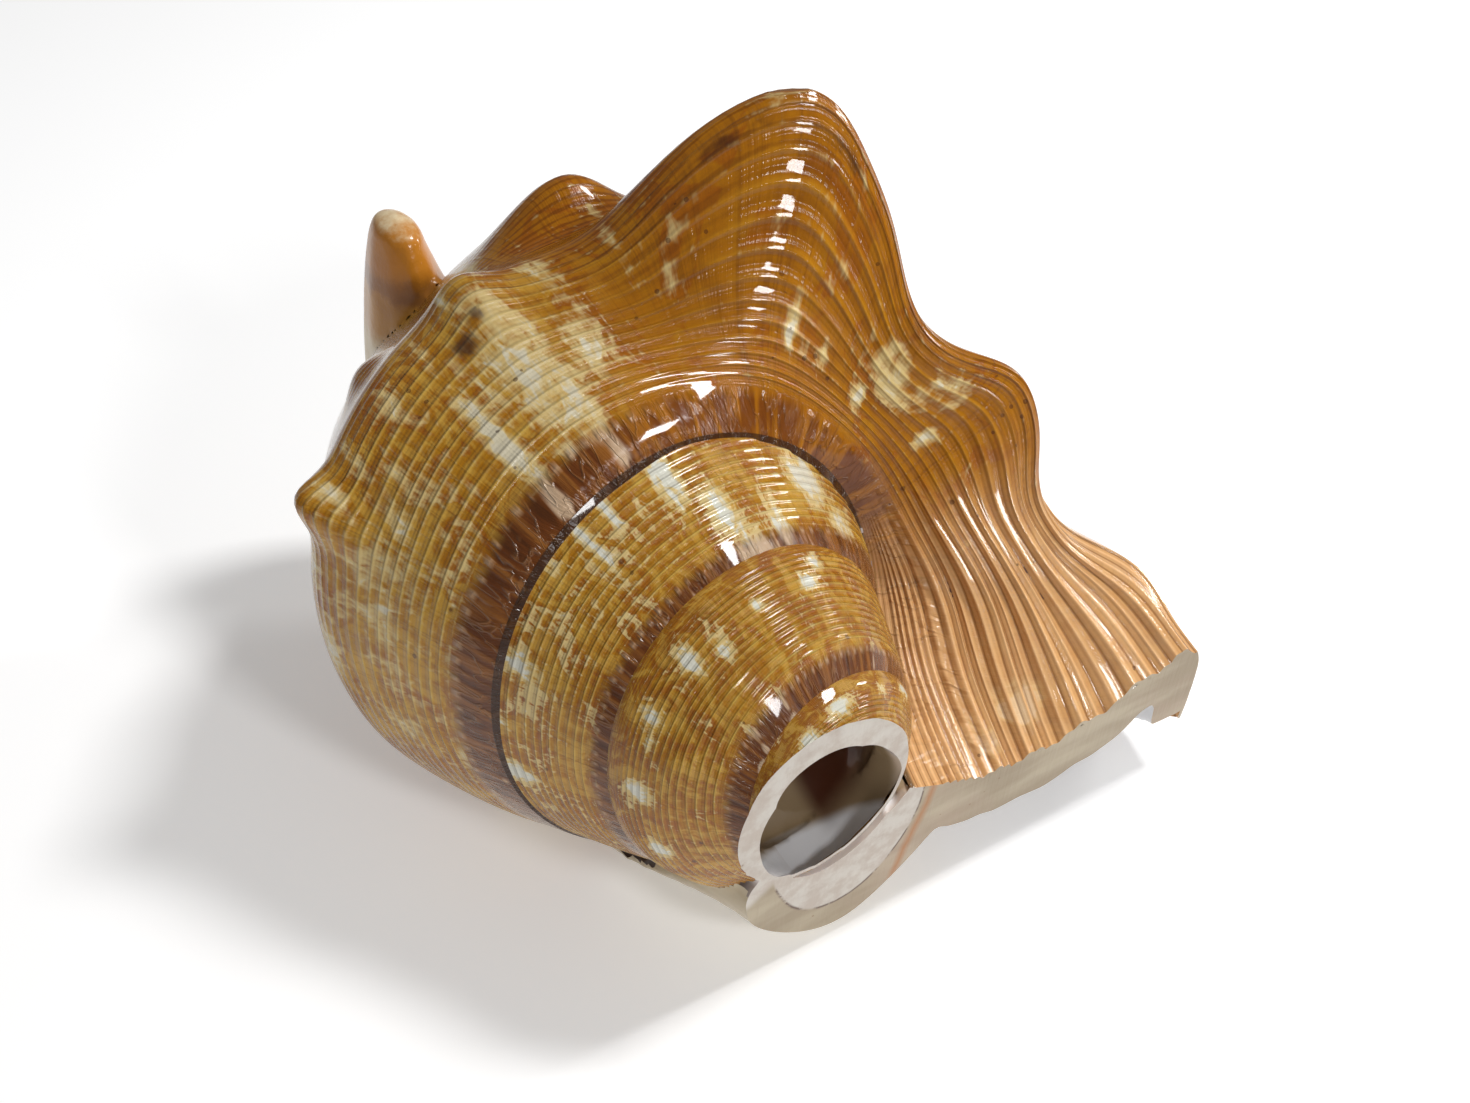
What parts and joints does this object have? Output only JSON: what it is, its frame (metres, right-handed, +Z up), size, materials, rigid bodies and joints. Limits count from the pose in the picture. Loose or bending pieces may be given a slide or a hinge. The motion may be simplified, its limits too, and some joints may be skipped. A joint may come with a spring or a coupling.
{
  "type": "conch shell horn",
  "caption": "Spider conch shell with a knobbed shoulder, a flared ribbed lip and an upturned canal, its apex and lip end ground flat to open a blow hole.",
  "frame": {"origin": "middle of the bounding box at the underside the shell lies on", "axes": "+Z up as it lies on its opening; +Y along the shell's axis towards the canal, with the ground apex and blow hole at -Y; +X towards the flared lip"},
  "size_m": [0.1169, 0.1265, 0.1035],
  "materials": {
    "shell_brown_cream": "glossy worn shell, orange-brown and cream outside, white and mauve where cut"
  },
  "bodies": {
    "root": {"shell": "shell_brown_cream"}
  },
  "joints": []
}
